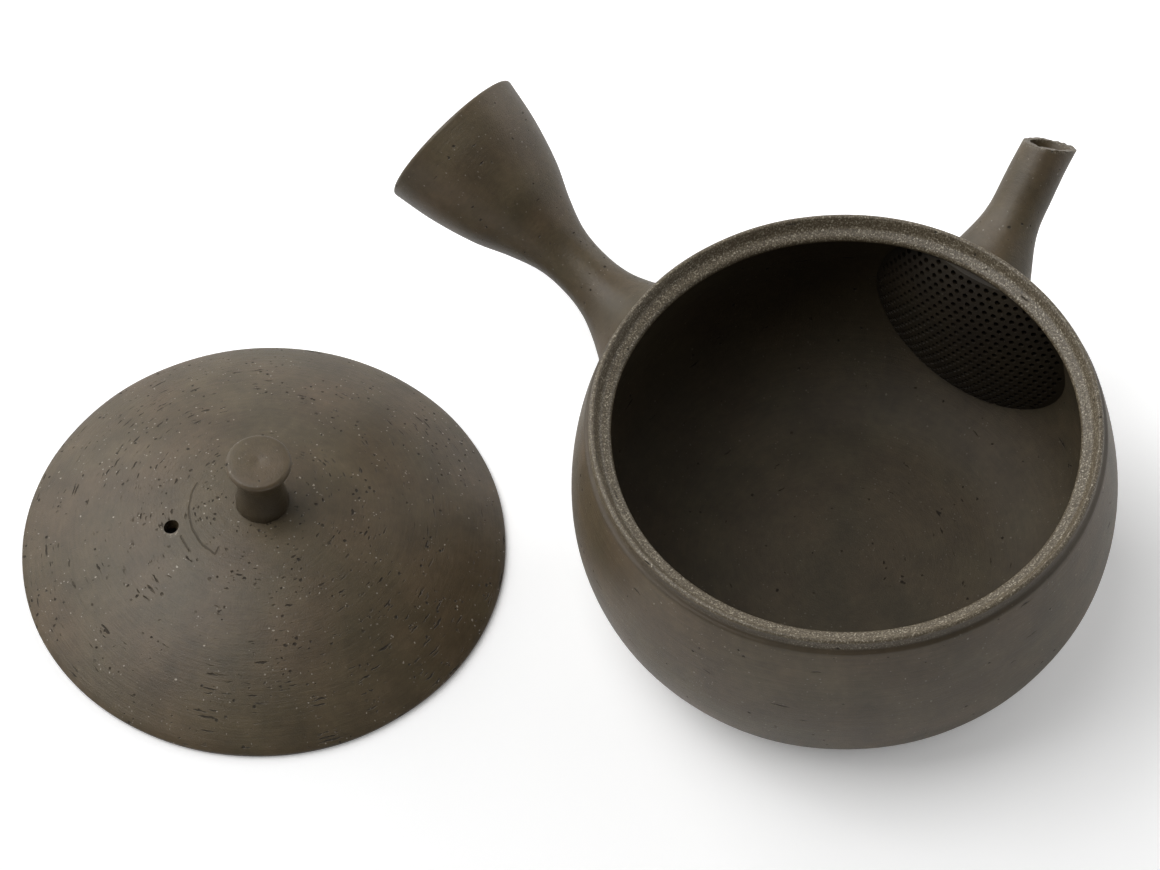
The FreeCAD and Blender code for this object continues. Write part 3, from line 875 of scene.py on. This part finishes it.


# %% [markdown]
# Some places differ from the plain clay. The lid has rubbed the pot's ledge and rim until their
# grains show, and the cut edge of the spout is bare as well. A tool has scratched an arc and a
# short line into the lid's top, and piercing the vent has left a small pale burr on one side. The
# pot's outer neck and the knob's stem under its button are painted darker, as painted shade.
# Places are in millimetres from the piece's axis.

# %% Worn and scratched places
UPRIGHT = (0, 0, 0)
SPOUT_TILT = (0, math.radians(90 - SPOUT_RISE), 0)
NECK_START_MM = 46.6
NECK_END_MM = 47.3
NECK_WALL = 0.4
BEHIND_START_MM = 48.2
BEHIND_END_MM = 48.9
WALL_SPARED = 0.15
CREST_START_MM = 49.4
CREST_END_MM = 50.0
CREST_WEAR = 0.5
LIP_WEAR_START = -0.9
LIP_WEAR_END = -0.1
LIP_WEAR = 0.6
STEM_SHADE_START = LID_TOP + 12.6
STEM_SHADE_END = LID_TOP + 11.6
ARC_CENTRE = (-1.1, 0.2, 0.0)
ARC_RADIUS = 13.0
ARC_MIDDLE = math.radians(135)
ARC_HALF_SWEEP = math.radians(41)
ARC_END = (-14.0, 1.05, 0.0)
ARC_HOOK = (-12.5, 1.25, 0.0)
SCRATCH_START = (-13.75, 9.3, 0.0)
SCRATCH_END = (-15.8, 6.0, 0.0)
SCRATCH_WIDTH = 0.55
SCRATCH_STRENGTH = 0.55
BURR_CENTRE = (-13.6, 11.5, 0.0)
BURR_RADIUS = 1.5
BURR_CORE = 1.0
BURR_WEAR = 0.7


def rim_wear_and_neck_shade(tree, place):
    """Worn: the ledge, the wall behind a little less, the crest half as much. Painted shade: the neck.
    """
    height = height_of(tree, place)
    radius = add(tree, "VectorMath", {"operation": "LENGTH"}, {0: flatten(tree, place)})
    high = rise(tree, height, NECK_START_MM, NECK_END_MM)
    outer = rise(tree, radius, RIM[0] - NECK_WALL, RIM[0])
    crest = rise(tree, height, CREST_START_MM, CREST_END_MM)
    neck = add(tree, "Math", {"operation": "MULTIPLY"}, {0: high, 1: outer})
    ledge = add(tree, "Math", {"operation": "SUBTRACT"}, {0: high, 1: neck})
    rubbed = add(tree, "Math", {"operation": "MULTIPLY"}, {0: crest, 1: CREST_WEAR})
    behind = rise(tree, height, BEHIND_START_MM, BEHIND_END_MM)
    behind = add(tree, "Math", {"operation": "MULTIPLY"}, {0: behind, 1: WALL_SPARED})
    ledge = add(tree, "Math", {"operation": "SUBTRACT", "use_clamp": True}, {0: ledge, 1: behind})
    worn = add(tree, "Math", {"operation": "MAXIMUM"}, {0: ledge, 1: rubbed})
    # The second value is painted shade on the outer neck, below the crest.
    return worn, add(tree, "Math", {"operation": "SUBTRACT", "use_clamp": True}, {0: neck, 1: crest})


def groove(tree, off, width):
    """1 along the middle of a line, 0 where the distance to it is more than half a width."""
    return add(tree, "MapRange", inputs={"Value": off, "From Min": width / 2, "From Max": width / 6})


def scratch(tree, flat, start, end):
    """A straight scratch between two places on the lid."""
    run = Vector(end) - Vector(start)
    way = run.normalized()
    from_start = add(tree, "VectorMath", {"operation": "SUBTRACT"}, {0: flat, 1: start})
    reach = add(tree, "VectorMath", {"operation": "DOT_PRODUCT"}, {0: from_start, 1: way})
    reach = add(tree, "Clamp", inputs={"Value": reach, "Min": 0.0, "Max": run.length})
    nearest = add(tree, "VectorMath", {"operation": "SCALE"}, {0: way, "Scale": reach})
    off = add(tree, "VectorMath", {"operation": "DISTANCE"}, {0: from_start, 1: nearest})
    return groove(tree, off, SCRATCH_WIDTH)


def lid_incision(tree, place):
    """The faint arc round the knob with the hook at its end, and the scratch beside the vent."""
    flat = flatten(tree, crooked(tree, place, wave=2.5, amount=0.5))
    from_centre = add(tree, "VectorMath", {"operation": "SUBTRACT"}, {0: flat, 1: ARC_CENTRE})
    reach = add(tree, "VectorMath", {"operation": "LENGTH"}, {0: from_centre})
    off = add(tree, "Math", {"operation": "SUBTRACT"}, {0: reach, 1: ARC_RADIUS})
    line = groove(tree, add(tree, "Math", {"operation": "ABSOLUTE"}, {0: off}), SCRATCH_WIDTH)
    split = add(tree, "SeparateXYZ", inputs={"Vector": from_centre}).node.outputs
    turn = add(tree, "Math", {"operation": "ARCTAN2"}, {0: split["Y"], 1: split["X"]})
    within = add(tree, "Math", {"operation": "COMPARE"}, {0: turn, 1: ARC_MIDDLE, 2: ARC_HALF_SWEEP})
    marks = add(tree, "Math", {"operation": "MULTIPLY"}, {0: line, 1: within})
    for start, end in ((ARC_END, ARC_HOOK), (SCRATCH_START, SCRATCH_END)):
        straight = scratch(tree, flat, start, end)
        marks = add(tree, "Math", {"operation": "MAXIMUM"}, {0: marks, 1: straight})
    return add(tree, "Math", {"operation": "MULTIPLY"}, {0: marks, 1: SCRATCH_STRENGTH})


def scraped_lip(tree, place):
    """Worn: the edge of the spout's mouth, where the tool has cut it. Nothing is shaded."""
    facing = Matrix.Rotation(-SPOUT_TILT[1], 3, "Y") @ mouth_normal()
    from_mouth = add(tree, "VectorMath", {"operation": "SUBTRACT"},
                     {0: place, 1: (0.0, 0.0, SPOUT_LENGTH)})
    below = add(tree, "VectorMath", {"operation": "DOT_PRODUCT"}, {0: from_mouth, 1: facing})
    cut = rise(tree, below, LIP_WEAR_START, LIP_WEAR_END)
    return add(tree, "Math", {"operation": "MULTIPLY"}, {0: cut, 1: LIP_WEAR}), 0.0


# Painted shade: the knob's stem under the button is darkened.
def painted_stem_shade(tree, place):
    """Worn: nothing. Shaded: painted shade on the knob's stem, under the button."""
    return 0.0, rise(tree, height_of(tree, place), STEM_SHADE_START, STEM_SHADE_END)


def vent_burr(tree, place):
    """Worn: the burr beside the vent. Nothing is shaded."""
    off = add(tree, "VectorMath", {"operation": "DISTANCE"}, {0: flatten(tree, place), 1: BURR_CENTRE})
    near = add(tree, "MapRange", inputs={"Value": off, "From Min": BURR_RADIUS, "From Max": BURR_CORE,
                                         "To Max": BURR_WEAR})
    return near, 0.0


# %% [markdown]
# Then each piece gets its clay, centred on its own axis. The inside of the pot has a second clay,
# darker and duller: the darker colour is painted shade. The pot wears both, and its inner faces are
# given the darker one by their index. The strainer stays as it was packed, in a clay that is darker
# still, which is painted shade too.

# %% Coat the pieces
# Painted shade: the inside of the pot gets these darker colours.
SHADED_INSIDE_DARK = "#3c3322"
SHADED_INSIDE_LIGHT = "#4d4330"
# Painted shade: the strainer's clay is darker because it lies in the shade of the rim.
SHADED_STRAINER_DARK = "#241d13"
SHADED_STRAINER_LIGHT = "#302819"
STRAINER_CENTRE = (0.0821, -0.0042, 0.0265)
INSIDE_SHADE_BOTTOM = 2.0
INSIDE_SHADE_TOP = LEDGE_HEIGHT - 1.2
FLOOR_TOP = LEDGE_HEIGHT - 2.0
INSIDE_SHADE_SKIN = 1.0
FLOOR_FACING = 0.3


def coat(piece, material):
    """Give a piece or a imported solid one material."""
    piece.data.materials.clear()
    piece.data.materials.append(material)


def paint_shade_inside(pot, material):
    """Give the pot's inner wall and floor, below the lid's ledge, the darker clay of painted shade."""
    pot.data.materials.append(material)
    for face in pot.data.polygons:
        place = face.center / MM
        faces_axis = face.normal.x * place.x + face.normal.y * place.y < 0
        on_floor = face.normal.z > FLOOR_FACING and place.z < FLOOR_TOP
        within = INSIDE_SHADE_BOTTOM < place.z < INSIDE_SHADE_TOP and depth_in_pot(place) > INSIDE_SHADE_SKIN
        if within and (faces_axis or on_floor):
            face.material_index = 1


coat(pot, mix_clay("pot_stoneware", (0, 0, 0), UPRIGHT, drag=0.05, grains=0.8, wear_and_shade=rim_wear_and_neck_shade))
# The inside's darker clay is painted shade.
paint_shade_inside(pot, mix_clay("shaded_inside_stoneware", (0, 0, 0), UPRIGHT, SHADED_INSIDE_DARK, SHADED_INSIDE_LIGHT,
                           drag=0.06, grains=0.35, rings=0.2, gloss=0.7))
# The strainer's darker clay is painted shade.
shaded_strainer_clay = mix_clay("shaded_strainer_stoneware", STRAINER_CENTRE, UPRIGHT, SHADED_STRAINER_DARK, SHADED_STRAINER_LIGHT,
                         drag=0.0, grains=0.2, rings=0.0, gloss=0.6)
coat(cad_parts["strainer"], shaded_strainer_clay)
spout_seat = Vector(SPOUT_SEAT) * MM
coat(spout, mix_clay("spout_stoneware", spout_seat, SPOUT_TILT, drag=0.08, wear_and_shade=scraped_lip))
handle_turn = math.radians(HANDLE_TURN)
handle_seat = Matrix.Rotation(handle_turn, 3, "Z") @ Vector(HANDLE_SEAT) * MM
handle_tilt = (0, math.radians(90 - HANDLE_RISE), handle_turn)
coat(handle, mix_clay("handle_stoneware", handle_seat, handle_tilt, drag=0.06))
lid_centre = LID_PLACE * MM
coat(lid, mix_clay("lid_stoneware", lid_centre, UPRIGHT, drag=0.48, grains=1.7,
                   incised=lid_incision, wear_and_shade=vent_burr))
coat(knob, mix_clay("knob_stoneware", lid_centre, UPRIGHT, drag=0.05, wear_and_shade=painted_stem_shade))
print("clays mixed:", len([m for m in bpy.data.materials if m.name.endswith("stoneware")]))

# %% [markdown]
# ## Table and light
#
# The table is a plain white sweep. It takes the shadows. It glows a little only to the camera and
# in reflections, so that the paper reads as white while the light on the clay stays plain. Where
# something covers it closely it doesn't glow, so that the vent looks into the dark under the lid.
# Broad lamps stand on the left and behind, as the window does in the picture, and the white room
# does the rest.

# %% The white table
LOOK_TURN = math.radians(-57.0)
PICTURE_BACK = (-math.sin(LOOK_TURN), math.cos(LOOK_TURN), 0.0)
TABLE_HALF_WIDTH = 3.0
TABLE_GLOW = 0.31
BACK_GLOW = 0.6
BACK_GLOW_FROM = 0.07
TABLE_SHEEN = 0.1
COVER_HEIGHT = 0.06
COVERED = 0.1
UNCOVERED = 0.35


def mix_paper():
    """White paper with a glow, stronger towards the back and gone where something covers it."""
    material, tree = start_material("white_paper")
    rays = add(tree, "LightPath").node.outputs
    spot = add(tree, "TexCoord").node.outputs["Object"]
    depth = add(tree, "VectorMath", {"operation": "DOT_PRODUCT"}, {0: spot, 1: PICTURE_BACK})
    glow = add(tree, "MapRange", inputs={"Value": depth, "From Min": 0.0, "From Max": BACK_GLOW_FROM,
                                         "To Min": TABLE_GLOW, "To Max": BACK_GLOW})
    seen = add(tree, "Math", {"operation": "MULTIPLY"}, {0: rays["Is Camera Ray"], 1: glow})
    seen = add(tree, "Math", {"operation": "MULTIPLY_ADD"},
               {0: rays["Is Glossy Ray"], 1: TABLE_SHEEN, 2: seen})
    free = add(tree, "AmbientOcclusion", {"samples": 8}, {"Distance": COVER_HEIGHT})
    strength = add(tree, "Math", {"operation": "MULTIPLY"},
                   {0: seen, 1: rise(tree, free, COVERED, UNCOVERED)})
    glow = add(tree, "Emission", inputs={"Strength": strength, "Color": (1, 1, 1, 1)})
    paper = add(tree, "BsdfDiffuse", inputs={"Color": "#f2f2f2"})
    both = add(tree, "AddShader", inputs={0: paper, 1: glow})
    add(tree, "OutputMaterial", inputs={"Surface": both})
    return material


def make_table():
    """A wide sheet under everything, which belongs to the stage."""
    bm = bmesh.new()
    bmesh.ops.create_grid(bm, x_segments=2, y_segments=2, size=TABLE_HALF_WIDTH)
    mesh = bpy.data.meshes.new("table")
    bm.to_mesh(mesh)
    bm.free()
    table = bpy.data.objects.new("table", mesh)
    bpy.context.scene.collection.objects.link(table)
    table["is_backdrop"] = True
    coat(table, mix_paper())


make_table()

# %% [markdown]
# Lamps are named by where they stand. Each is a soft panel aimed at the middle of the scene, placed
# by its direction as seen from above and its height angle.

# %% Lamps and the white room
SCENE_MIDDLE = Vector((0.0, 0.06, 0.02))
LAMP_DISTANCE = 5.0
LAMP_WIDTH = 3.2
LAMPS = [
    ("overhead_left", 180, 72, 90),
    ("back_left_low", 135, 22, 64),
    ("back_right_low", 45, 22, 54),
    ("left_high", 180, 48, 60),
    ("side_right", 0, 22, 30),
    ("back_low", 90, 22, 32),
    ("back_left_high", 135, 48, 45),
    ("left_low", 180, 22, 24),
]
ROOM_FILL = 0.02
ROOM_SHEEN = 0.2


def add_lamp(name, side_angle, height_angle, power):
    """A square panel; side angle 0 is the right of the picture and 90 its back."""
    panel = bpy.data.lights.new(name, "AREA")
    panel.shape = "SQUARE"
    panel.size = LAMP_WIDTH
    panel.energy = power
    lamp = bpy.data.objects.new(name, panel)
    side = math.radians(side_angle) + LOOK_TURN
    up = math.radians(height_angle)
    way = Vector((math.cos(side) * math.cos(up), math.sin(side) * math.cos(up), math.sin(up)))
    turn = way.to_track_quat("Z", "Y").to_matrix().to_4x4()
    lamp.matrix_world = Matrix.Translation(SCENE_MIDDLE + way * LAMP_DISTANCE) @ turn
    bpy.context.scene.collection.objects.link(lamp)
    print(f"lamp {name}: {power} W")


def make_room(fill, sheen):
    """All round is white to the eye; fill is its light on dull surfaces, sheen its reflection."""
    world = bpy.data.worlds.new("white_room")
    world.use_nodes = True
    tree = world.node_tree
    tree.nodes.clear()
    rays = add(tree, "LightPath").node.outputs
    seen = add(tree, "Math", {"operation": "MAXIMUM"},
               {0: rays["Is Camera Ray"], 1: rays["Is Transmission Ray"]})
    glossy = add(tree, "Math", {"operation": "MULTIPLY"}, {0: rays["Is Glossy Ray"], 1: sheen})
    strength = add(tree, "Math", {"operation": "MAXIMUM"}, {0: seen, 1: glossy})
    strength = add(tree, "Math", {"operation": "MAXIMUM"}, {0: strength, 1: fill})
    light = add(tree, "Background", inputs={"Strength": strength, "Color": (1, 1, 1, 1)})
    add(tree, "OutputWorld", inputs={"Surface": light})
    bpy.context.scene.world = world


for lamp in LAMPS:
    add_lamp(*lamp)
make_room(ROOM_FILL, ROOM_SHEEN)
bpy.context.scene.view_settings.view_transform = "Standard"

# %% Write the sizes and finish
dressed_box = [list(corner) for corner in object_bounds()]
for label, box in (("solids", cad_box), ("dressed", dressed_box)):
    print(label, [round((high - low) * 1000, 2) for low, high in zip(*box)], "mm")
